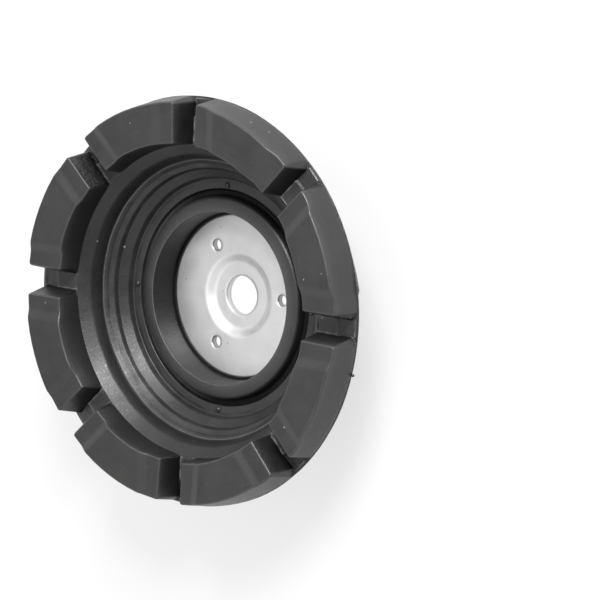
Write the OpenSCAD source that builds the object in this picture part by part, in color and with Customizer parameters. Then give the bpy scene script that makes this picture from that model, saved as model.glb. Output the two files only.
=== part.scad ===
// Strut mount: a rubber moulding with eight lobes round a stepped bowl, bonded to a steel plate.
// The origin is on the axis, on the face of the dimple that takes the strut rod's nut, and the lobes
// point up, along +Z. Heights in the sections are measured from the plate's upper face.

/* [Rim] */
// Outside diameter of the rim
rim_d = 143.6; // [142:0.2:160]
// Height of the notch floor's inner edge above the plate
floor_h = 24.3; // [24.1:0.1:26]
// Diameter at the top of the step in the notch floor
step_d = 127.8; // [122:0.2:128.6]
// Diameter at the foot of the step in the notch floor
step_foot_d = 128.8; // [128:0.2:134]
// Drop from the notch floor's inner edge to the foot of the step
step_drop = 0.5; // [0.2:0.1:0.7]
// Drop from the notch floor's inner edge to the widest edge of the rim
rim_edge_drop = 0.8; // [0.5:0.1:2]
// Height of the upright edge of the rim
rim_edge_h = 1; // [0.5:0.1:2]
// Thickness of the rim under the notch floor
rim_t = 5.3; // [5:0.1:7]

/* [Lobes] */
// Number of lobes
lobe_count = 8; // [6:1:9]
// Height of a lobe's outer edge above the notch floor's inner edge
lobe_h = 11.2; // [9:0.1:13]
// Diameter of the lobes' inner top edge
lobe_in_d = 111.4; // [110:0.2:114]
// Diameter of the lobes' outer top edge
lobe_out_d = 140.6; // [136:0.2:141]
// Slope of a lobe's top towards the axis, in degrees
top_tilt = 2.8; // [1:0.1:5]
// Draft of a lobe's inner wall, in degrees
lobe_draft = 4.4; // [2:0.2:8]
// Height of the foot of the lobes' inner wall
lobe_foot_h = 24; // [22:0.1:24]
// Rise of a lobe's raised middle above its two ends
pad_rise = 2; // [1:0.1:2.5]
// Length of each low end of a lobe, from the notch to the ramp
end_len = 5.8; // [4:0.2:8]
// Length of the ramp up to the raised middle
ramp_len = 2.9; // [1.5:0.1:4]
// Width of a notch at its floor
notch_w = 5.9; // [4:0.1:9]
// Draft of a notch's walls, in degrees
notch_draft = 13; // [5:1:15]
// Radius along the lobes' top edges
lobe_round = 0.7; // [0.4:0.1:1.5]

/* [Bowl] */
// Diameter of the bowl's shoulder
shoulder_d = 102.8; // [101:0.2:105]
// Fall from the foot of the lobes to the bowl's shoulder
shoulder_fall = 3.8; // [2:0.1:5]
// Radius of the shoulder
shoulder_round = 2.8; // [1:0.1:4]
// Diameter at the foot of the bowl's upper wall
wall_foot_d = 100.8; // [98:0.2:102]
// Height of the foot of the bowl's upper wall
wall_foot_h = 16.3; // [15:0.1:18]
// Diameter of the step between the two sloping treads
tread_d = 92.8; // [90:0.2:95]
// Height of the step between the two sloping treads
tread_h = 13; // [12:0.1:14]
// Rise of the small steps between the rings
riser_h = 0.8; // [0.4:0.1:1.2]
// Outside diameter of the land round the hub
land_d = 85.6; // [83:0.2:88]
// Height of the land round the hub
land_h = 8.5; // [7:0.1:10]
// Diameter of the four pips on the land
pip_d = 2.1; // [1:0.1:3]

/* [Hub] */
// Outside diameter of the hub ring
hub_d = 71.6; // [68:0.2:74]
// Height of the hub ring above the plate
hub_h = 11.4; // [10:0.1:14]
// Thickness of the hub ring's wall
hub_wall = 5.6; // [5:0.1:7]
// Width of the groove round the hub ring
groove_w = 2.5; // [1.5:0.1:4]
// Depth of the groove below the land
groove_depth = 3; // [2:0.1:6]

/* [Back] */
// Depth of the foot below the plate's upper face
foot_drop = 7.5; // [6:0.1:10]
// Outside diameter of the foot
foot_d = 90; // [84:1:94]
// Diameter of the pocket behind the plate
pocket_d = 50.4; // [46:0.2:56]
// Diameter at the root of the rim, on the back
root_d = 119; // [116:0.5:124]

/* [Plate] */
// Thickness of the steel sheet
plate_t = 2.5; // [1.5:0.1:3]
// Diameter of the strut rod's hole
bore_d = 14; // [10:0.5:18]
// Diameter of the pressed-down dimple
dimple_d = 29.8; // [26:0.2:34]
// Depth of the dimple
dimple_drop = 2; // [1:0.1:3]
// Length of the dimple's sloping wall, seen from above
dimple_slope = 3; // [2:0.1:4]
// Diameter of the small holes
hole_d = 4; // [2:0.1:5]
// Diameter of the circle through the small holes
hole_circle_d = 40; // [38:0.5:44]
// Number of small holes
hole_count = 3; // [3:1:6]
// Turn of the small holes from the first notch, in degrees
hole_turn = 2.5; // [0:0.5:15]
// Height of the turned-up edge inside the hub ring
flange_h = 8.8; // [6:0.1:9.5]
// Inside radius of the bend under the turned-up edge
bend_r = 1.5; // [0.5:0.1:2]

/* [Hidden] */
$fn = 96;

rubber_colour = [0.14, 0.14, 0.145];
steel_colour = [0.78, 0.79, 0.8];

// Share of an edge that the arc at one of its ends may take up, where the other end is round or sharp
round_share = 0.48;
sharp_share = 0.9;
// Length by which a cutter passes the surface that it cuts
past = 2;

// Places along the section, as distances from the axis
rim_r = rim_d / 2;
step_foot_r = step_foot_d / 2;
step_r = step_d / 2;
lobe_in_r = lobe_in_d / 2;
lobe_out_r = lobe_out_d / 2;
shoulder_r = shoulder_d / 2;
wall_foot_r = wall_foot_d / 2;
tread_r = tread_d / 2;
land_r = land_d / 2;
hub_r = hub_d / 2;
cup_r = hub_r - hub_wall;
groove_r = hub_r + groove_w;
foot_r = foot_d / 2;
pocket_r = pocket_d / 2;
root_r = root_d / 2;

// Heights along the section
lobe_out_z = floor_h + lobe_h;
lobe_in_z = lobe_out_z - (lobe_out_r - lobe_in_r) * tan(top_tilt);
rim_edge_z = floor_h - rim_edge_drop;
rim_under_z = floor_h - rim_t;
step_foot_z = floor_h - step_drop;
shoulder_z = lobe_foot_h - shoulder_fall;
groove_z = land_h - groove_depth;
lobe_foot_r = lobe_in_r - (lobe_in_z - lobe_foot_h) * tan(lobe_draft);

// Radii on the hub, the foot and the small steps
hub_round = 1;
lip_round = 0.4;
ring_round = 0.35;
tread_round = 0.8;
land_round = 2;
groove_round = 1.1;
foot_round = 3;
pocket_round = 1.2;
root_round = 4;
rim_under_round = 2;
// Length of the slanted face under the rim's edge, seen from below
rim_under_len = 3.7;
// Rise of the land's rounded crown, draft of the hub ring's inner wall and fall of its top
land_crown = 0.4;
hub_draft = 0.4;
hub_fall = 1;

// The turned-up edge lies midway in the hub ring
flange_out_r = (hub_r + cup_r + plate_t) / 2;
dimple_r = dimple_d / 2;
pip_count = 4;
pip_ring_r = groove_r + pip_d * 0.75;

function unit(v) = v / norm(v);
function place(corner) = [corner[0], corner[1]];
function corner_at(corners, i) = corners[(i + len(corners)) % len(corners)];
function arc_share(next) = len(next) < 3 ? sharp_share : round_share;
function edge_room(corner, next) = norm(place(next) - place(corner)) * arc_share(next);
function spoke(angle) = [cos(angle), sin(angle)];

// Arc at corner b, with the radius that b gives, between the edges to corners a and c
function arc_at(a, b, c, steps) =
    let (
        to_a = unit(place(a) - place(b)),
        to_c = unit(place(c) - place(b)),
        half = acos(to_a * to_c) / 2,
        r = min(b[2], min(edge_room(b, a), edge_room(b, c)) * tan(half)),
        centre = place(b) + unit(to_a + to_c) * r / sin(half),
        first = place(b) + to_a * r / tan(half) - centre,
        last = place(b) + to_c * r / tan(half) - centre,
        start = atan2(first.y, first.x),
        turn = (atan2(last.y, last.x) - start + 540) % 360 - 180
    )
    [for (i = [0 : steps]) centre + r * spoke(start + turn * i / steps)];

// Outline through corners [x, y] or [x, y, radius]
function rounded(corners, steps = 5) = [
    for (i = [0 : len(corners) - 1])
        each len(corners[i]) < 3
            ? [corners[i]]
            : arc_at(corner_at(corners, i - 1), corners[i], corner_at(corners, i + 1), steps)
];

// Section through the raised middle of a lobe, from the cup, over the lobe and back under the rim
function body_section() = rounded([
    [cup_r - hub_draft, -plate_t / 2],
    [cup_r, hub_h, lip_round],
    [hub_r, hub_h - hub_fall, hub_round],
    [hub_r, groove_z, groove_round],
    [groove_r, groove_z, groove_round],
    [groove_r, land_h - land_crown, land_round],
    [(groove_r + 2 * land_r) / 3, land_h, land_round * 1.5],
    [land_r, land_h - land_crown / 4, ring_round],
    [land_r + riser_h / 2, land_h + riser_h * 2, tread_round],
    [tread_r - riser_h / 4, tread_h - riser_h, ring_round],
    [tread_r, tread_h, tread_round],
    [wall_foot_r - riser_h * 2.5, wall_foot_h - riser_h * 1.75, tread_round],
    [wall_foot_r - riser_h, wall_foot_h + riser_h / 2],
    [wall_foot_r - riser_h / 4, wall_foot_h, ring_round],
    [shoulder_r, shoulder_z, shoulder_round],
    [lobe_foot_r, lobe_foot_h],
    [lobe_in_r, lobe_in_z, lobe_round],
    [lobe_out_r, lobe_out_z, lobe_round],
    [rim_r, rim_edge_z],
    [rim_r, rim_edge_z - rim_edge_h, rim_under_round],
    [rim_r - rim_under_len, rim_under_z, rim_under_round],
    [root_r, rim_under_z, root_round],
    [foot_r, -foot_drop, foot_round],
    [pocket_r, -foot_drop, pocket_round],
    [pocket_r, -plate_t / 2]
]);

// Half of a notch's outline seen along its length: a ramp, a lobe's low end, the notch wall and the
// upright wall below the step. Heights are measured from the low end.
end_h = lobe_h - pad_rise;
notch_top_half = notch_w / 2 + end_h * tan(notch_draft);
ramp_foot = notch_top_half + end_len;
ramp_past = ramp_len * (1 + past / pad_rise);
notch_depth = lobe_h + step_drop;
function notch_half() = [
    [ramp_foot + ramp_past, pad_rise + past],
    [ramp_foot, 0, ramp_len],
    [notch_top_half, 0, lobe_round],
    [notch_w / 2, -end_h],
    [notch_w / 2, -notch_depth]
];
function across(corner) = [for (j = [0 : len(corner) - 1]) j == 0 ? -corner[0] : corner[j]];
function mirrored(half) = [for (i = [len(half) - 1 : -1 : 0]) across(half[i])];

// Space above the notch floor with its low step, out past the rim's edge
module above_floor() {
    rotate_extrude()
        polygon(rounded([
            [lobe_foot_r - past, floor_h],
            [step_r, floor_h],
            [step_foot_r, step_foot_z],
            [rim_r, rim_edge_z],
            [rim_r + past, rim_edge_z],
            [rim_r + past, lobe_out_z + past],
            [lobe_foot_r - past, lobe_out_z + past]
        ]));
}

// One notch with the low ends of the two lobes beside it, along +X
module notch() {
    intersection() {
        above_floor();
        translate([lobe_out_r, 0, lobe_out_z - pad_rise])
            rotate([0, -top_tilt, 0])
                rotate([90, 0, -90])
                    linear_extrude(height = lobe_out_r, center = true)
                        polygon(rounded(concat(notch_half(), mirrored(notch_half()))));
    }
}

// Section of the plate's sheet, solid across the axis
function plate_section() = rounded([
    [0, -dimple_drop],
    [dimple_r - dimple_slope, -dimple_drop, dimple_slope / 2],
    [dimple_r, 0, dimple_slope / 2],
    [flange_out_r - plate_t, 0, bend_r],
    [flange_out_r - plate_t, flange_h],
    [flange_out_r, flange_h],
    [flange_out_r, -plate_t, bend_r + plate_t],
    [dimple_r, -plate_t, dimple_slope / 2],
    [dimple_r - dimple_slope, -dimple_drop - plate_t, dimple_slope / 2],
    [0, -dimple_drop - plate_t]
]);

// Lifts a piece so that the floor of the plate's dimple lies at the origin
module on_seat() {
    translate([0, 0, dimple_drop])
        children();
}

module plate_blank() {
    rotate_extrude()
        polygon(plate_section());
}

module rubber_body() {
    color(rubber_colour)
        on_seat()
            difference() {
                union() {
                    rotate_extrude()
                        polygon(body_section());
                    for (i = [0 : pip_count - 1])
                        rotate([0, 0, i * 360 / pip_count])
                            translate([pip_ring_r, 0, land_h - land_crown / 2])
                                sphere(d = pip_d);
                }
                plate_blank();
                for (i = [0 : lobe_count - 1])
                    rotate([0, 0, i * 360 / lobe_count])
                        notch();
            }
}

module inner_plate() {
    color(steel_colour)
        on_seat()
            difference() {
                plate_blank();
                translate([0, 0, -dimple_drop - plate_t - past])
                    cylinder(d = bore_d, h = plate_t + dimple_drop + 2 * past);
                for (i = [0 : hole_count - 1])
                    rotate([0, 0, hole_turn + i * 360 / hole_count])
                        translate([hole_circle_d / 2, 0, -plate_t - past])
                            cylinder(d = hole_d, h = plate_t + 2 * past);
            }
}

rubber_body();
inner_plate();
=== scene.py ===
"""Strut mount: a moulded rubber body with a lobed rim, bonded round a plated steel plate."""

import math

import bpy
import numpy as np
from mathutils import Matrix, Vector

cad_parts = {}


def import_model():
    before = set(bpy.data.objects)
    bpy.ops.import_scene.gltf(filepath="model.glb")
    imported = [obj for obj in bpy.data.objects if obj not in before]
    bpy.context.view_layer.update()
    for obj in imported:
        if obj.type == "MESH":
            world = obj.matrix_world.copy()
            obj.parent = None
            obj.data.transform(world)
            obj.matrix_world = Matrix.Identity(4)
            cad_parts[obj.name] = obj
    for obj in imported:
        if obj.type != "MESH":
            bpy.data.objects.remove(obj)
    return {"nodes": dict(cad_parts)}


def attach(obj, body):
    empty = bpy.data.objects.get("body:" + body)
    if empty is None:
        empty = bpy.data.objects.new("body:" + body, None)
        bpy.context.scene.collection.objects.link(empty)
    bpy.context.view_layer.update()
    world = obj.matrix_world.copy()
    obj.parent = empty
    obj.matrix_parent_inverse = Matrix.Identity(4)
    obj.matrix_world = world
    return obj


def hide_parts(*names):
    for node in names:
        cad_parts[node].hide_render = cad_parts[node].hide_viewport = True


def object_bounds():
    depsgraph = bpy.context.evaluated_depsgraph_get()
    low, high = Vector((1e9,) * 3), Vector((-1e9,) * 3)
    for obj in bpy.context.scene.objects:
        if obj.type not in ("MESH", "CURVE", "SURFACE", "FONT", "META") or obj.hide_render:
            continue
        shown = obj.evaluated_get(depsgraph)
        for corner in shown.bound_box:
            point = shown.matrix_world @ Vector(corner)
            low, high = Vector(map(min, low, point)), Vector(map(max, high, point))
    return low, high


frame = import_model()
cad_low, cad_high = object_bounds()

# Sizes are in millimetres, with heights above the plate's upper face, which is at PLATE_Z in the frame
MM = 0.001
PLATE_Z = 2.0
RIM_R = cad_high.x / MM
FOOT_Z = cad_low.z / MM - PLATE_Z

# The lobes, whose tops slope towards the axis
LOBE_COUNT = 8
LOBE_OUT_R = 70.0
LOBE_IN_R = 55.7
LOBE_OUT_Z = 35.3
LOBE_FOOT_Z = 24.0
TOP_TILT = math.radians(2.8)
LOBE_DRAFT = math.radians(4.4)
WALL_DRAFT = math.radians(6.0)
EDGE_ROUND = 0.7
IN_CORNER = 0.35
OUT_CORNER = 1.0

# The raised pad in the middle of each lobe, with a ramp down to a lower end on both sides
PAD_RISE = 1.5
RAMP_LEN = 2.9
RAMP_BLEND = 0.9
END_LEN = 5.6

# The notches between the lobes, with a step in their floor
NOTCH_W = 5.9
NOTCH_DRAFT = math.radians(13.0)
# How much faster the end walls fall once they are past the floor's edge
NOTCH_FOOT_STEEPER = 5.0
FLOOR_Z = 24.3
FLOOR_RISE_LEN = 1.2
# The fillet at the floor, which fades out over a distance from the lobes' foot and from the rim's edge
FLOOR_FILLET = 0.5
FILLET_FADE_IN = 0.6
FILLET_FADE_OUT = 2.0
STEP_R = 63.9
STEP_LEN = 1.2
STEP_DROP = 0.4

# The rim's widest edge and its underside
RIM_EDGE_Z = 23.5
RIM_EDGE_H = 1.0
RIM_UNDER_Z = 19.0
RIM_UNDER_IN = 3.7
RIM_BACK_ROUND = 2.0

LOBE_IN_Z = LOBE_OUT_Z - (LOBE_OUT_R - LOBE_IN_R) * math.tan(TOP_TILT)
LOBE_FOOT_R = LOBE_IN_R - (LOBE_IN_Z - LOBE_FOOT_Z) * math.tan(LOBE_DRAFT)
RIM_TOP_Z = LOBE_OUT_Z + (RIM_R - LOBE_OUT_R) * math.tan(TOP_TILT)
OUT_DRAFT = math.atan((RIM_R - LOBE_OUT_R) / (RIM_TOP_Z - RIM_EDGE_Z))
NOTCH_TOP_HALF = NOTCH_W / 2 + (LOBE_OUT_Z - FLOOR_Z - PAD_RISE) * math.tan(NOTCH_DRAFT)
RAMP_FOOT = NOTCH_TOP_HALF + END_LEN
PERIOD = 2 * math.pi / LOBE_COUNT
# The gap between the bowl's last row of points and the rim's first
ROW_GAP = 0.01

# Corners of the bowl's rings as (r, z, radius), from the land round the hub up to the shoulder
LAND_IN = (38.6, 8.3, 0.35)
LAND_CROWN = (40.7, 8.5, 3.0)
LAND_FOOT = (42.0, 8.4, 0.4)
LOW_RING = (42.8, 10.3, 1.5)
LOW_RING_FOOT = (45.6, 12.6, 0.4)
HIGH_RING = (46.3, 14.1, 1.0)
HIGH_RING_DIP = (47.9, 15.25, 1.5)
HIGH_RING_CREST = (49.2, 16.8, 0.6)
WALL_FOOT = (49.75, 16.5, 0.4)
WALL_TOP = (50.45, 18.9, 2.0)
SHOULDER = (51.1, 20.7, 3.0)

# The hub ring round the plate, and the groove round the hub ring
HUB_R = 35.8
HUB_Z = 11.0
HUB_WALL = 5.2
HUB_DRAFT = 0.8
HUB_FALL = 0.6
HUB_IN_ROUND = 0.4
HUB_OUT_ROUND = 1.4
GROOVE_W = 2.5
GROOVE_Z = 6.7
GROOVE_ROUND = 1.2
CUP_R = HUB_R - HUB_WALL
GROOVE_R = HUB_R + GROOVE_W

# The thin skin of rubber on the plate inside the cup, which ends in a lip
SKIN = 0.05
LIP_R = 28.8
LIP_W = 0.55
LIP_H = 0.45
LIP_ROUND = 0.12

# The back: the cone's root under the rim, the foot and the pocket behind the plate
ROOT_R = 59.5
ROOT_ROUND = 4.0
FOOT_R = 45.0
FOOT_ROUND = 3.0
POCKET_R = 25.2
POCKET_ROUND = 1.2
# Degrees between the points of the back's arcs
BACK_STEP = 24.0

# The plate: its turned-up edge in the hub ring, the rod's hole and three small holes
PLATE_T = 2.5
FLANGE_R = 34.25
FLANGE_Z = 8.8
BEND_R = 1.5
BORE_R = 7.0
HOLE_R = 2.0
HOLE_RING_R = 20.0
HOLE_COUNT = 3
HOLE_TURN = math.radians(2.5)

# The pips on the land
PIP_COUNT = 4
PIP_R = 1.15
PIP_RISE = 0.9
PIP_SINK = 0.2
PIP_RING_R = GROOVE_R + 1.45 * PIP_R

# Lines of flash on the notches' floors, as (distance from the edge that each follows, width)
FLASH_H = 0.55
FLASH_AT_FOOT = (0.35, 0.15)
FLASH_AT_STEP = (0.2, 0.2)
FLASH_AT_WALLS = (0.25, 0.17)
FLASH_AT_RIM = (0.9, 0.25)
# The distance from the lobes' foot over which the lines along the walls start
FLASH_START = 0.8

# The thin fin on the rim's widest edge, as (depth below the edge, share of its reach)
FIN_OUT = 0.3
FIN_PROFILE = ((0.3, 0.0), (0.45, 1.0), (0.55, 1.0), (0.7, 0.0))
FIN_WEAR = 0.6
# The fin stands out further past one azimuth and carries a nub at another, in degrees
JOG_AT = 9.5
JOG_SPAN = 10.0
JOG_OUT = 0.7
NUB_AT = -12.75
NUB_R = 0.55
NUB_OUT = 0.5
NUB_SINK = 0.5

# Unevenness of the bowl, as (height, waves round the axis, shift for each millimetre of radius)
BOWL_WAVES = ((0.07, 9, 0.8), (0.05, 23, -1.9))
# How far from the groove and from the lobes the unevenness fades out
WAVE_FADE_IN, WAVE_FADE_OUT = 2.0, 1.5

# What each point of the rubber carries for its material, from 0 to 1: paler edges of wear and painted
# highlight, roughness, and painted shade
MARKS = ("edge", "rough", "painted_shade")
PLAIN = (0.0, 0.0, 0.0)
# The height over the floor at which a lobe counts as fully clear of it
CLEAR_H = 3.0
# Paler lobe edges, partly wear and partly painted highlight, as its strength, its distance inside the
# edge and its width
EDGE_WEAR_AND_HIGHLIGHT = 0.2
EDGE_WEAR_AND_HIGHLIGHT_AT = (0.15, 0.3)
# The notch, counted from +X, with a torn wall, and how rough that wall, the others and the gutter are
TORN_NOTCH = 3
TORN_ROUGH = 0.6
WALL_ROUGH = 0.1
GUTTER_ROUGH = 0.25
# The shoulder is rough round one azimuth in degrees
SHOULDER_ROUGH = 0.035
SHOULDER_ROUGH_AT = 215.0
# How dark the painted shade in the hollows is, from 0 to 1
CUP_SHADE = 0.35
WALL_SHADE = 0.5
GROOVE_SHADE = 0.95
# The fall below a lobe's top at which the painted shade in a notch is darkest, and the share of it on
# the inner walls
NOTCH_SHADE_FALL = 10.0
INNER_WALL_SHADE = 0.4
# The azimuths in degrees where the painted shade on the cup's wall is darkest and the painted shade in
# the groove round the hub least dark, and how far to both sides the groove stays so before it fades to
# its darkest
CUP_DARK_AT = 178.0
GROOVE_PALE_AT = 190.0
GROOVE_PALE_HALF = 45.0
GROOVE_FADE = 30.0


# Section outlines

# The share of a side that an arc may take, alone on it or with an arc at the far end too
ALONE, BESIDE = 0.9, 0.48


def arc_points(before, corner, after, degrees_a_step):
    """Points of the arc that rounds a corner (r, z, radius) between its two neighbours."""
    here = np.array(corner[:2], dtype=float)
    ways, rooms = [], []
    for other in (before, after):
        way = np.array(other[:2]) - here
        length = np.linalg.norm(way)
        ways.append(way / length)
        rooms.append(length * (ALONE if len(other) < 3 else BESIDE))
    half = math.acos(float(np.clip(ways[0] @ ways[1], -1, 1))) / 2
    radius = min(corner[2], min(rooms) * math.tan(half))
    middle = (ways[0] + ways[1]) / np.linalg.norm(ways[0] + ways[1])
    centre = here + middle * radius / math.sin(half)
    first, last = (here + way * radius / math.tan(half) - centre for way in ways)
    start = math.atan2(first[1], first[0])
    turn = (math.atan2(last[1], last[0]) - start + 3 * math.pi) % (2 * math.pi) - math.pi
    steps = max(2, math.ceil(abs(math.degrees(turn)) / degrees_a_step))
    angles = start + turn * np.arange(steps + 1) / steps
    return centre + radius * np.stack((np.cos(angles), np.sin(angles)), axis=-1)


def rounded(corners, degrees_a_step=20.0):
    """Points (r, z) through corners (r, z) or (r, z, radius), with an arc where there is a radius."""
    points = [[corners[0][:2]]]
    for before, corner, after in zip(corners, corners[1:], corners[2:]):
        if len(corner) < 3:
            points.append([corner])
        else:
            points.append(arc_points(before, corner, after, degrees_a_step))
    points.append([corners[-1][:2]])
    return np.concatenate(points)


def bowl_section():
    """From the plate's face up the cup, over the hub ring and the rings to the foot of the lobes."""
    return rounded([
        (LIP_R, 0.0),
        (LIP_R, LIP_H, LIP_ROUND),
        (LIP_R + LIP_W, LIP_H, LIP_ROUND),
        (LIP_R + LIP_W, SKIN),
        (CUP_R - HUB_DRAFT, SKIN),
        (CUP_R, HUB_Z, HUB_IN_ROUND),
        (HUB_R, HUB_Z - HUB_FALL, HUB_OUT_ROUND),
        (HUB_R, GROOVE_Z, GROOVE_ROUND),
        (GROOVE_R, GROOVE_Z, GROOVE_ROUND),
        LAND_IN,
        LAND_CROWN,
        LAND_FOOT,
        LOW_RING,
        LOW_RING_FOOT,
        HIGH_RING,
        HIGH_RING_DIP,
        HIGH_RING_CREST,
        WALL_FOOT,
        WALL_TOP,
        SHOULDER,
        (LOBE_FOOT_R, LOBE_FOOT_Z),
    ])


def back_section():
    """From the rim's edge down the cone, over the foot, into the pocket and round the flange."""
    inner = FLANGE_R - PLATE_T
    return rounded([
        (RIM_R, RIM_EDGE_Z),
        (RIM_R, RIM_EDGE_Z - RIM_EDGE_H, RIM_BACK_ROUND),
        (RIM_R - RIM_UNDER_IN, RIM_UNDER_Z, RIM_BACK_ROUND),
        (ROOT_R, RIM_UNDER_Z, ROOT_ROUND),
        (FOOT_R, FOOT_Z, FOOT_ROUND),
        (POCKET_R, FOOT_Z, POCKET_ROUND),
        (POCKET_R, -PLATE_T),
        (FLANGE_R, -PLATE_T, BEND_R + PLATE_T),
        (FLANGE_R, FLANGE_Z),
        (inner, FLANGE_Z),
        (inner, 0.0, BEND_R),
        (CUP_R - HUB_DRAFT, 0.0),
    ], BACK_STEP)[1:]


# The lobed rim, as heights over the plan

def smooth_min(a, b, width):
    """The lower of two heights, rounded over where they meet."""
    mix = np.clip(0.5 + 0.5 * (b - a) / width, 0.0, 1.0)
    return b * (1 - mix) + a * mix - width * mix * (1 - mix)


def smooth_max(a, b, width):
    """The higher of two heights, rounded over where they meet."""
    return -smooth_min(-a, -b, width)


def ridge(distance, width):
    """A soft ridge that is 1 at no distance and fades over a width."""
    return np.exp(-(distance / width) ** 2)


def as_wall(inside, draft):
    """Distance inside an edge, stretched outside it so that each wall has the same draft."""
    return np.where(inside < 0, inside * math.tan(WALL_DRAFT) / math.tan(draft), inside)


def cornered(a, b, radius):
    """Distance inside both of two edges, with a rounded corner where they meet."""
    over = np.hypot(np.maximum(radius - a, 0), np.maximum(radius - b, 0))
    return np.maximum(radius, np.minimum(a, b)) - over


def edge_drop(inside):
    """Fall below a lobe's top at a distance inside its edge: a round edge, then the drafted wall."""
    reach = EDGE_ROUND * math.tan((math.pi / 2 - WALL_DRAFT) / 2)
    along = np.clip(reach - inside, 0, EDGE_ROUND)
    arc = EDGE_ROUND - np.sqrt(EDGE_ROUND**2 - along**2)
    return np.where(inside > -reach * math.sin(WALL_DRAFT), arc, -inside / math.tan(WALL_DRAFT))


def lobe_form(radius, across):
    """Height of a lobe's top, and the distances inside its inner, end and outer edges."""
    top = LOBE_OUT_Z - (LOBE_OUT_R - radius) * math.tan(TOP_TILT)
    ramp = PAD_RISE * (1 - (across - RAMP_FOOT) / RAMP_LEN)
    fall = smooth_max(smooth_min(ramp, PAD_RISE, RAMP_BLEND), 0.0, RAMP_BLEND)
    inner = radius - (LOBE_IN_R - fall * math.tan(LOBE_DRAFT))
    outer = LOBE_OUT_R + fall * math.tan(OUT_DRAFT) - radius
    notch_half = NOTCH_W / 2 + (top - PAD_RISE - FLOOR_Z) * math.tan(NOTCH_DRAFT)
    past_foot = np.minimum(across - NOTCH_W / 2, 0.0)
    end = across - notch_half + NOTCH_FOOT_STEEPER * past_foot
    return top - fall, inner, end, outer


FLOOR_LINE = np.array([
    (LOBE_FOOT_R + 2 * ROW_GAP, LOBE_FOOT_Z),
    (LOBE_FOOT_R + FLOOR_RISE_LEN, FLOOR_Z),
    (STEP_R, FLOOR_Z),
    (STEP_R + STEP_LEN, FLOOR_Z - STEP_DROP),
    (RIM_R, RIM_EDGE_Z),
])


def flash_lines(radius, across, turn):
    """How far flash stands up on a notch's floor: at its foot, step, walls and outer edge."""
    def line(distance, at):
        return ridge(distance - at[0], at[1])

    right_side = np.clip(np.cos(turn), 0.0, 1.0)
    left_side = np.clip(-np.cos(turn), 0.1, 1.0)
    before_step = np.clip((radius - LOBE_FOOT_R) / FLASH_START, 0.0, 1.0) * (radius < STEP_R)
    lines = right_side * line(radius - LOBE_FOOT_R, FLASH_AT_FOOT)
    lines = lines + left_side * line(STEP_R - radius, FLASH_AT_STEP)
    lines = lines + before_step * line(NOTCH_W / 2 - across, FLASH_AT_WALLS)
    lines = lines + line(RIM_R - radius, FLASH_AT_RIM)
    uneven = 0.6 + 0.4 * np.sin(37.0 * turn + 1.3 * radius)
    return np.where(across < NOTCH_W / 2, lines * uneven, 0.0)


def end_wall_rough(turn):
    """How rough the lobes' end walls are: most on one side of the torn notch."""
    notch = np.round(turn / PERIOD) % LOBE_COUNT
    side = np.sign(np.sin(LOBE_COUNT * turn))
    return np.where((notch == TORN_NOTCH) & (side > 0), TORN_ROUGH, WALL_ROUGH)


def rim_surface(radius, across, turn):
    """Height of the rubber at a radius and across a notch, with its marks in the order of MARKS."""
    top, inner, end, outer = lobe_form(radius, across)
    inner_wall, end_wall = as_wall(inner, LOBE_DRAFT), as_wall(end, NOTCH_DRAFT)
    inside = cornered(inner_wall, end_wall, IN_CORNER)
    inside = cornered(inside, as_wall(outer, OUT_DRAFT), OUT_CORNER)
    lobe = top - edge_drop(inside)
    floor = np.interp(radius, FLOOR_LINE[:, 0], FLOOR_LINE[:, 1])
    flash = flash_lines(radius, across, turn)
    from_ends = min((RIM_R - radius) / FILLET_FADE_OUT, (radius - LOBE_FOOT_R) / FILLET_FADE_IN)
    fillet = FLOOR_FILLET * np.clip(from_ends, 0.0, 1.0) + 1e-6
    height = smooth_max(lobe, floor + FLASH_H * flash, fillet)

    above = np.clip((lobe - floor) / CLEAR_H, 0.0, 1.0)
    wear_and_highlight = EDGE_WEAR_AND_HIGHLIGHT * ridge(inside - EDGE_WEAR_AND_HIGHLIGHT_AT[0], EDGE_WEAR_AND_HIGHLIGHT_AT[1]) * above
    # Paler edges and flash: partly wear, partly painted highlight
    edge = np.maximum(wear_and_highlight, np.clip(flash, 0.0, 1.0))
    gutter = np.clip(radius - STEP_R, 0.0, 1.0) * np.clip(1.0 - 4 * above, 0.0, 1.0)
    torn = end_wall_rough(turn) * np.clip(-4 * end, 0.0, 1.0) * (above > 0.05)
    rough = np.maximum(GUTTER_ROUGH * gutter, torn)
    # Painted shade: darker the further a notch falls below the lobe's top, weaker on the lobes' inner
    # walls
    painted_shade = np.clip((top - height) / NOTCH_SHADE_FALL, 0.0, 1.0)
    painted_shade = painted_shade * np.where(end_wall < inner_wall, 1.0, INNER_WALL_SHADE)
    painted_shade = np.where((outer > 0.3) & (above > 0.03), painted_shade, 0.0)
    return height, edge, rough, painted_shade


# The wear, painted highlight and painted shade of the bowl

# Crisp edges of the bowl as (r, z, how far their paler wear and painted highlight shows), and how far
# it reaches
BOWL_EDGES = (
    (CUP_R + 0.15, HUB_Z, 0.35),
    (HUB_R, HUB_Z - HUB_FALL, 0.1),
    (*LOW_RING[:2], 0.06),
    (*HIGH_RING[:2], 0.08),
    (*HIGH_RING_CREST[:2], 0.45),
)
BOWL_EDGE_REACH = 0.3


def bowl_edge(r, z):
    """How pale the bowl is at a place on its section, from wear and painted highlight on its crisp
    edges.
    """
    return max(
        share * ridge(math.hypot(r - at_r, z - at_z), BOWL_EDGE_REACH)
        for at_r, at_z, share in BOWL_EDGES
    )


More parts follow.
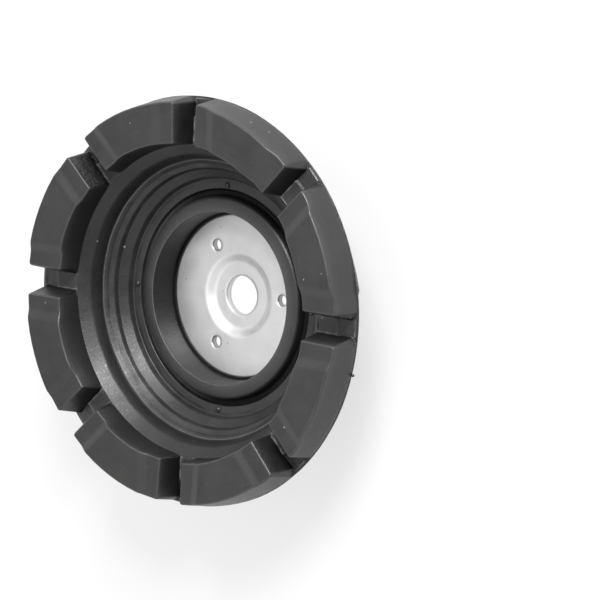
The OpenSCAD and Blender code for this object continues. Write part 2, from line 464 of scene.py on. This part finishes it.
def hollow_shade(r, z, turn):
    """Painted shade on the bowl: in the cup, at the foot of the wall under the shoulder and in the
    groove.
    """
    in_cup = r < CUP_R + 0.01 and z < HUB_Z - 0.2
    on_wall = r > WALL_FOOT[0] - 0.2
    in_groove = HUB_R - 0.1 < r < GROOVE_R + 0.1 and z < LAND_IN[1] - 0.6
    if in_cup:
        towards_dark = np.cos(turn - math.radians(CUP_DARK_AT))
        return CUP_SHADE * (1.0 + np.clip(2 * towards_dark - 1.0, 0.0, 1.0))
    if on_wall:
        reach = SHOULDER[1] - 1.0 - WALL_FOOT[1]
        return WALL_SHADE * max(0.0, 1.0 - abs(z - WALL_FOOT[1]) / reach)
    if in_groove:
        from_pale = np.abs(np.degrees(turn) % 360.0 - GROOVE_PALE_AT)
        return GROOVE_SHADE * np.clip((from_pale - GROOVE_PALE_HALF) / GROOVE_FADE, 0.1, 1.0)
    return 0.0


# Rows and columns of the rubber's mesh

def spread(stops):
    """Values from stops (value, how many values from it up to the next stop), and the last stop."""
    spans = [np.linspace(a, b, count, endpoint=False) for (a, count), (b, _) in zip(stops, stops[1:])]
    return np.concatenate(spans + [[stops[-1][0]]])


def rim_radii():
    """Distances from the axis of the rows over the lobes, close together at the walls and the step."""
    return spread([
        (LOBE_FOOT_R + ROW_GAP, 7),
        (LOBE_FOOT_R + 0.46, 8),
        (LOBE_IN_R + 0.2, 6),
        (LOBE_IN_R + 1.05, 5),
        (STEP_R - 0.5, 7),
        (STEP_R + STEP_LEN, 4),
        (LOBE_OUT_R - 1.0, 5),
        (LOBE_OUT_R - 0.3, 8),
        (LOBE_OUT_R + 0.45, 7),
        (RIM_R, 1),
    ])


def near_columns():
    """Distances across from a notch's middle, close together at its walls and at the ramp's ends."""
    foot = NOTCH_W / 2
    ramp_top = RAMP_FOOT + RAMP_LEN
    return spread([
        (0.0, 2),
        (foot - 0.55, 6),
        (foot + 0.25, 4),
        (NOTCH_TOP_HALF - 0.55, 8),
        (NOTCH_TOP_HALF + 1.0, 2),
        (RAMP_FOOT - 0.6, 4),
        (RAMP_FOOT + 0.6, 1),
        (ramp_top - 0.6, 4),
        (ramp_top + 0.7, 1),
    ])


# How many columns share out the pad evenly, between the ramp's top and the middle of the lobe
PAD_COLUMNS = 3


def half_turns(radius):
    """Angles of the columns from the middle of a notch to the middle of the lobe beside it."""
    near = np.arcsin(near_columns() / radius)
    return np.concatenate((near, np.linspace(near[-1], PERIOD / 2, PAD_COLUMNS + 1)[1:]))


def turns(radius):
    """Angles of the columns round the whole axis."""
    half = half_turns(radius)
    one = np.concatenate((-half[-2:0:-1], half))
    return np.concatenate([one + k * PERIOD for k in range(LOBE_COUNT)])


def across_notch(radius):
    """Distance of each column from the middle of its notch."""
    half = radius * np.sin(half_turns(radius))
    return np.tile(np.concatenate((half[-2:0:-1], half)), LOBE_COUNT)


def bowl_rows(turn):
    """Rows of the bowl, slightly uneven between the groove and the foot of the lobes."""
    towards_rough = np.cos(turn - math.radians(SHOULDER_ROUGH_AT))
    patchy = SHOULDER_ROUGH * np.clip(3 * towards_rough - 1.6, 0.0, 1.0)
    for r, z in bowl_section():
        from_lobes = np.clip((LOBE_FOOT_R - r) / WAVE_FADE_OUT, 0.0, 1.0)
        from_groove = np.clip((r - GROOVE_R) / WAVE_FADE_IN, 0.0, 1.0)
        wave = sum(height * np.sin(count * turn + shift * r) for height, count, shift in BOWL_WAVES)
        uneven_z = z + from_lobes * from_groove * wave
        rough = patchy if r > HIGH_RING[0] else 0.0
        yield turn, r, uneven_z, bowl_edge(r, z), rough, hollow_shade(r, z, turn)


def fin_rows(turn):
    """Rows of the fin on the rim's widest edge, whose reach varies round the axis."""
    reach = FIN_OUT * np.clip(0.45 + 0.35 * np.sin(3 * turn + 0.6) + 0.3 * np.sin(11 * turn), 0.0, 1.0)
    past_jog = (np.degrees(turn) - JOG_AT) % 360.0
    reach = reach + JOG_OUT * np.clip(1.0 - past_jog / JOG_SPAN, 0.0, 1.0)
    for depth, out in FIN_PROFILE:
        yield turn, RIM_R + out * reach, RIM_EDGE_Z - depth, FIN_WEAR * out, 0.0, 0.0


def rubber_rows():
    """Rows round the whole body: angles, distance from the axis, height and the three marks."""
    radii = rim_radii()
    yield from bowl_rows(turns(radii[0]))
    for r in radii:
        yield turns(r), r, *rim_surface(r, across_notch(r), turns(r))
    yield from fin_rows(turns(RIM_R))
    for r, z in back_section():
        yield turns(RIM_R), r, z, *PLAIN


def rubber_rings():
    """Rings of points round the whole body, and the marks of each point."""
    rows = list(rubber_rows())
    columns = len(rows[0][0])
    rings = np.empty((len(rows), columns, 3))
    marks = np.empty((len(rows), columns, len(MARKS)))
    for i, (turn, r, z, *values) in enumerate(rows):
        rings[i, :, 0] = r * np.cos(turn)
        rings[i, :, 1] = r * np.sin(turn)
        rings[i, :, 2] = z
        for k, value in enumerate(values):
            marks[i, :, k] = value
    return rings, marks


def ring_faces(rows, columns, first=0, closed=True):
    """Quads between rings of points, and from the last ring back to the first if closed."""
    index = first + np.arange(rows * columns).reshape(rows, columns)
    if closed:
        index = np.vstack((index, index[:1]))
    a, b = index[:-1], index[1:]
    return np.stack((a, np.roll(a, -1, axis=1), np.roll(b, -1, axis=1), b), axis=-1).reshape(-1, 4)


# The small balls on the rubber

BALL_ROWS, BALL_COLUMNS = 7, 16


def ball(radius, height, lowest):
    """Rings of a small ball with its own height, from the lowest angle in degrees up to its top."""
    turn = np.linspace(0, 2 * math.pi, BALL_COLUMNS, endpoint=False)
    rise = np.radians(np.linspace(lowest, 89.0, BALL_ROWS))
    flat = radius * np.cos(rise)[:, None]
    up = np.broadcast_to(height * np.sin(rise)[:, None], (len(rise), len(turn)))
    return np.stack((flat * np.cos(turn), flat * np.sin(turn), up), axis=-1)


def small_balls():
    """The pips on the land and the nub on the rim's fin, each as rings of points."""
    def at(radius, turn, z):
        return radius * math.cos(turn), radius * math.sin(turn), z

    for k in range(PIP_COUNT):
        place = at(PIP_RING_R, 2 * math.pi * k / PIP_COUNT, LAND_CROWN[1] - PIP_SINK)
        yield ball(PIP_R, PIP_RISE, lowest=5.0) + place
    place = at(RIM_R + NUB_OUT, math.radians(NUB_AT), RIM_EDGE_Z - NUB_SINK)
    yield ball(NUB_R, NUB_R, lowest=-89.0) + place


# The rubber piece

def add_object(name, data):
    piece = bpy.data.objects.new(name, data)
    bpy.context.scene.collection.objects.link(piece)
    return piece


def crease(mesh, row, columns):
    """Keep the edges along one row of points sharp."""
    ends = np.empty(2 * len(mesh.edges), dtype=np.int32)
    mesh.edges.foreach_get("vertices", ends)
    along_row = (ends.reshape(-1, 2) // columns == row).all(axis=1)
    mesh.attributes.new("sharp_edge", "BOOLEAN", "EDGE").data.foreach_set("value", along_row)


def rubber_mesh():
    rings, ring_marks = rubber_rings()
    points = [rings.reshape(-1, 3)]
    faces = [ring_faces(*rings.shape[:2])]
    marks = [ring_marks.reshape(-1, len(MARKS))]
    for ball_rings in small_balls():
        faces.append(ring_faces(*ball_rings.shape[:2], first=sum(map(len, points)), closed=False))
        points.append(ball_rings.reshape(-1, 3))
        marks.append(np.zeros((len(points[-1]), len(MARKS))))
    places = np.concatenate(points) + (0.0, 0.0, PLATE_Z)
    mesh = bpy.data.meshes.new("rubber_moulding")
    mesh.from_pydata((places * MM).tolist(), [], np.concatenate(faces).tolist())
    mesh.shade_smooth()
    crease(mesh, row=len(bowl_section()) - 1, columns=rings.shape[1])
    for name, values in zip(MARKS, np.concatenate(marks).T):
        values = np.ascontiguousarray(values)
        mesh.attributes.new(name, "FLOAT", "POINT").data.foreach_set("value", values)
    return mesh


def rubber_body():
    mesh = rubber_mesh()
    mesh.materials.append(rubber_material())
    piece = add_object("rubber_moulding", mesh)
    normals = piece.modifiers.new("flat_faces", "WEIGHTED_NORMAL")
    normals.weight = 100
    normals.keep_sharp = True
    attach(piece, "root")
    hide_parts("rubber_body")


# Shader nodes

def fill(tree, socket, value):
    """Give a socket a value, or a link from another socket."""
    if isinstance(value, bpy.types.NodeSocket):
        tree.links.new(value, socket)
    else:
        socket.default_value = value


def add(tree, kind, sockets=None, **settings):
    """A new node with its settings, whose sockets get a value or a link from another socket."""
    node = tree.nodes.new("ShaderNode" + kind)
    for name, value in settings.items():
        setattr(node, name, value)
    for key, value in (sockets or {}).items():
        fill(tree, node.inputs[key], value)
    return node


def new_material(name):
    material = bpy.data.materials.new(name)
    material.use_nodes = True
    return material, material.node_tree, material.node_tree.nodes["Principled BSDF"]


def calc(tree, operation, a, b):
    return add(tree, "Math", {0: a, 1: b}, operation=operation).outputs[0]


def times(tree, a, b):
    return calc(tree, "MULTIPLY", a, b)


def vector(tree, operation, sockets, output="Vector"):
    return add(tree, "VectorMath", sockets, operation=operation).outputs[output]


def in_mm(tree):
    """Places on the piece in millimetres."""
    place = add(tree, "TexCoord").outputs["Object"]
    return vector(tree, "SCALE", {0: place, "Scale": 1 / MM})


def from_axis(tree, place):
    """A place without its height, and its distance from the axis."""
    flat = vector(tree, "MULTIPLY", {0: place, 1: (1.0, 1.0, 0.0)})
    return flat, vector(tree, "LENGTH", {0: flat}, "Value")


def mark(tree, name):
    """One of the MARKS of the rubber's points."""
    return add(tree, "Attribute", attribute_name=name).outputs["Fac"]


def noise(tree, place, scale, detail, roughness):
    sockets = {"Vector": place, "Scale": scale, "Detail": detail, "Roughness": roughness}
    return add(tree, "TexNoise", sockets).outputs["Fac"]


def remap(tree, value, low, high, to_low=0.0, to_high=1.0):
    sockets = {"Value": value, "From Min": low, "From Max": high, "To Min": to_low, "To Max": to_high}
    return add(tree, "MapRange", sockets).outputs["Result"]


def blend(tree, share, a, b):
    """Colour that goes from a to b."""
    node = add(tree, "Mix", data_type="RGBA")
    for socket, value in zip([s for s in node.inputs if s.enabled], (share, a, b)):
        fill(tree, socket, value)
    return next(s for s in node.outputs if s.enabled)


def round_axis(tree, place, around, along):
    """Coordinates that change fast along the section and slowly round the axis."""
    flat, out = from_axis(tree, place)
    way = vector(tree, "NORMALIZE", {0: flat})
    wide = vector(tree, "SCALE", {0: way, "Scale": around})
    height = add(tree, "SeparateXYZ", {0: place}).outputs["Z"]
    lift = add(tree, "CombineXYZ", {"Z": times(tree, calc(tree, "ADD", out, height), along)}).outputs[0]
    return vector(tree, "ADD", {0: wide, 1: lift})


def specks(tree, place, scale, radius, share):
    """Spots about one radius in size, in a share of the cells of a pattern."""
    cells = add(tree, "TexVoronoi", {"Vector": place, "Scale": scale}).outputs
    near = remap(tree, cells["Distance"], radius * scale, radius * scale * 0.5)
    pick = add(tree, "SeparateColor", {0: cells["Color"]}).outputs[0]
    return times(tree, near, calc(tree, "LESS_THAN", pick, share))


def bump(tree, height, distance, **sockets):
    """Surface normal over a height, where a height of 1 stands for a distance in millimetres."""
    values = {"Strength": 1.0, "Distance": distance * MM, "Height": height, **sockets}
    return add(tree, "Bump", values).outputs["Normal"]


# Materials

def grey(level, tint=(1.0, 1.0, 1.0)):
    return (level * tint[0], level * tint[1], level * tint[2], 1.0)


RUBBER_DARK = grey(0.015, tint=(1.05, 0.97, 1.06))
RUBBER_PALE = grey(0.023, tint=(1.03, 1.0, 0.96))
# The paler grey of edges and flash is wear and painted highlight; the near-black is painted shade in
# the hollows
SCUFF, WEAR_AND_HIGHLIGHT_GREY, DUST, PAINTED_SHADE_GREY = grey(0.06), grey(0.32), grey(0.3), grey(0.002)
STEEL_DARK, STEEL_PALE = grey(0.84), grey(0.92)
STAIN_AND_SHADE, BORE_EDGE = grey(0.1), grey(0.3)
# Widths of the dark rims on the steel, at its holes and at the lip, where the rim is painted shade
HOLE_RIM_W, LIP_RIM_W = 0.3, 0.5


def rubber_colour(tree, place, mottle, grain, painted_shade):
    """Black rubber with ring scuffs, dust, wear and painted highlight on edges and flash, painted shade
    in hollows.
    """
    streaks = round_axis(tree, place, around=9.0, along=1.6)
    scuffed = noise(tree, streaks, scale=1.0, detail=4.0, roughness=0.6)
    wear_and_highlight = times(tree, mark(tree, "edge"), remap(tree, grain, 0.3, 0.65, 0.35, 1.0))
    dusty = specks(tree, place, scale=0.16, radius=0.45, share=0.32)
    colour = blend(tree, remap(tree, mottle, 0.35, 0.68), RUBBER_DARK, RUBBER_PALE)
    colour = blend(tree, remap(tree, scuffed, 0.56, 0.78, 0.0, 0.35), colour, SCUFF)
    colour = blend(tree, times(tree, wear_and_highlight, 0.8), colour, WEAR_AND_HIGHLIGHT_GREY)
    colour = blend(tree, dusty, colour, DUST)
    # Painted shade in the hollows
    return blend(tree, times(tree, painted_shade, 0.75), colour, PAINTED_SHADE_GREY)


def rubber_material():
    """Semi-matt rubber with glints, a fine grain, torn walls, and painted shade with less gloss in the
    hollows.
    """
    material, tree, shader = new_material("moulded_rubber")
    place = in_mm(tree)
    mottle = noise(tree, place, scale=0.09, detail=5.0, roughness=0.6)
    grain = noise(tree, place, scale=1.5, detail=4.0, roughness=0.65)
    wrinkles = noise(tree, place, scale=0.6, detail=3.0, roughness=0.6)
    glint = specks(tree, place, scale=1.1, radius=0.4, share=0.3)
    painted_shade = mark(tree, "painted_shade")
    torn = times(tree, times(tree, wrinkles, mark(tree, "rough")), 1.5)
    height = calc(tree, "ADD", times(tree, grain, 0.07), torn)
    dull = remap(tree, mottle, 0.3, 0.7, 0.37, 0.5)
    fill(tree, shader.inputs["Base Color"], rubber_colour(tree, place, mottle, grain, painted_shade))
    # The painted shade also takes gloss off the hollows
    fill(tree, shader.inputs["Specular IOR Level"], remap(tree, painted_shade, 0.0, 1.0, 0.72, 0.1))
    fill(tree, shader.inputs["Roughness"], calc(tree, "SUBTRACT", dull, times(tree, glint, 0.1)))
    fill(tree, shader.inputs["Normal"], bump(tree, height, distance=1.0))
    return material


def steel_colour(tree, place, cloud):
    """Cloudy plating with a few stains, dark rims at the bore and the small holes, and painted shade at
    the lip.
    """
    flat, out = from_axis(tree, place)
    stained = specks(tree, place, scale=0.2, radius=0.25, share=0.35)
    colour = blend(tree, remap(tree, cloud, 0.3, 0.7), STEEL_DARK, STEEL_PALE)
    colour = blend(tree, stained, colour, STAIN_AND_SHADE)
    colour = blend(tree, remap(tree, out, BORE_R + HOLE_RIM_W, BORE_R, 0.0, 0.35), colour, BORE_EDGE)
    # Painted shade where the rubber's lip meets the plate
    colour = blend(tree, remap(tree, out, LIP_R - LIP_RIM_W, LIP_R, 0.0, 0.8), colour, STAIN_AND_SHADE)
    for k in range(HOLE_COUNT):
        turn = HOLE_TURN + 2 * math.pi * k / HOLE_COUNT
        centre = (HOLE_RING_R * math.cos(turn), HOLE_RING_R * math.sin(turn), 0.0)
        away = vector(tree, "DISTANCE", {0: flat, 1: centre}, "Value")
        near = remap(tree, away, HOLE_R + HOLE_RIM_W, HOLE_R, 0.0, 0.6)
        colour = blend(tree, near, colour, STAIN_AND_SHADE)
    return colour


def steel_material():
    """Satin plated sheet, with its pressed bends softened by the Bevel node."""
    material, tree, shader = new_material("plated_steel")
    place = in_mm(tree)
    cloud = noise(tree, place, scale=0.12, detail=5.0, roughness=0.6)
    grain = noise(tree, place, scale=2.2, detail=4.0, roughness=0.7)
    bends = add(tree, "Bevel", {"Radius": 1.6 * MM}, samples=12).outputs["Normal"]
    fill(tree, shader.inputs["Base Color"], steel_colour(tree, place, cloud))
    fill(tree, shader.inputs["Metallic"], 0.85)
    fill(tree, shader.inputs["Roughness"], remap(tree, cloud, 0.3, 0.7, 0.4, 0.48))
    fill(tree, shader.inputs["Normal"], bump(tree, grain, distance=0.012, Normal=bends))
    return material


# Stage, light and camera

# Half the floor's side in metres
FLOOR_HALF = 6.0
FLOOR_GREY = grey(0.9)
# How much of its own white the floor shows under the plate's holes, painted light in place of the
# part's shadow there, and from the foot outward
FLOOR_GLOW_IN, FLOOR_GLOW_OUT = 1.0, 0.7
# The room is dim on the camera's side and bright round the way that the lobes' tops mirror,
# with a dip right there; each span is of the cosine of the angle to that way
ROOM_WAY = (-0.62, -0.15, 0.77)
ROOM_DARK, ROOM_BRIGHT, ROOM_DIP = 0.03, 1.17, 0.58
ROOM_RISE_SPAN, ROOM_DIP_SPAN = (0.05, 0.7), (0.75, 0.97)
CAMERA_AT = Vector((781.9, 188.2, 949.8)) * MM
CAMERA_AIM = Vector((27.8, 2.1, 1.8)) * MM
CAMERA_UP = Vector((-0.130, 0.987, -0.090))
CAMERA_LENS, CAMERA_SENSOR = 210.8, 36.0


def seen_directly(tree):
    """A socket that is 1 where a camera, glossy or transmission ray arrives, and 0 for other rays."""
    path = add(tree, "LightPath").outputs
    seen = calc(tree, "MAXIMUM", path["Is Camera Ray"], path["Is Glossy Ray"])
    return calc(tree, "MAXIMUM", seen, path["Is Transmission Ray"])


def floor_material():
    """Pale floor that looks nearly white and takes the object's shadow, but glows fully white under the
    pocket as painted light.
    """
    material, tree, shader = new_material("pale_floor")
    tree.nodes.remove(shader)
    diffuse = add(tree, "BsdfDiffuse", {"Color": FLOOR_GREY}).outputs[0]
    glow = add(tree, "Emission", {"Strength": 1.0}).outputs[0]
    _, out = from_axis(tree, in_mm(tree))
    level = remap(tree, out, POCKET_R, FOOT_R, FLOOR_GLOW_IN, FLOOR_GLOW_OUT)
    share = times(tree, seen_directly(tree), level)
    mix = add(tree, "MixShader", {0: share, 1: diffuse, 2: glow}).outputs[0]
    fill(tree, tree.nodes["Material Output"].inputs["Surface"], mix)
    return material


def floor():
    mesh = bpy.data.meshes.new("floor")
    corners = [(-1, -1), (1, -1), (1, 1), (-1, 1)]
    points = [(x * FLOOR_HALF, y * FLOOR_HALF, cad_low.z) for x, y in corners]
    mesh.from_pydata(points, [], [(0, 1, 2, 3)])
    mesh.materials.append(floor_material())
    piece = add_object("floor", mesh)


def world():
    space = bpy.data.worlds.new("studio")
    bpy.context.scene.world = space
    space.use_nodes = True
    tree = space.node_tree
    way = add(tree, "TexCoord").outputs["Generated"]
    facing = vector(tree, "DOT_PRODUCT", {0: way, 1: ROOM_WAY}, "Value")
    rise = remap(tree, facing, *ROOM_RISE_SPAN, ROOM_DARK, ROOM_BRIGHT)
    dip = remap(tree, facing, *ROOM_DIP_SPAN, 0.0, ROOM_DIP)
    background = tree.nodes["Background"]
    fill(tree, background.inputs["Color"], grey(1.0))
    fill(tree, background.inputs["Strength"], calc(tree, "SUBTRACT", rise, dip))


def area_light(name, azimuth, elevation, distance, size, watts):
    """A square soft light that faces the part from an azimuth and an elevation in degrees."""
    lamp = bpy.data.lights.new(name, "AREA")
    lamp.shape = "SQUARE"
    lamp.size = size
    lamp.energy = watts
    piece = add_object(name, lamp)
    a, e = math.radians(azimuth), math.radians(elevation)
    out = Vector((math.cos(a) * math.cos(e), math.sin(a) * math.cos(e), math.sin(e)))
    piece.location = out * distance
    piece.rotation_euler = out.to_track_quat("Z", "Y").to_euler()


def camera():
    data = bpy.data.cameras.new("camera")
    data.lens = CAMERA_LENS
    data.sensor_width = CAMERA_SENSOR
    data.clip_start = 0.01
    piece = add_object("camera", data)
    back = (CAMERA_AT - CAMERA_AIM).normalized()
    right = CAMERA_UP.cross(back).normalized()
    up = back.cross(right)
    turn = Matrix((right, up, back)).transposed().to_4x4()
    piece.matrix_world = Matrix.Translation(CAMERA_AT) @ turn
    bpy.context.scene.camera = piece


camera()
floor()
world()
area_light("key", azimuth=60.0, elevation=42.0, distance=0.9, size=0.3, watts=9.2)
rubber_body()
plate = frame["nodes"]["inner_plate"]
plate.data.materials.clear()
plate.data.materials.append(steel_material())
bpy.context.scene.view_settings.view_transform = "Standard"
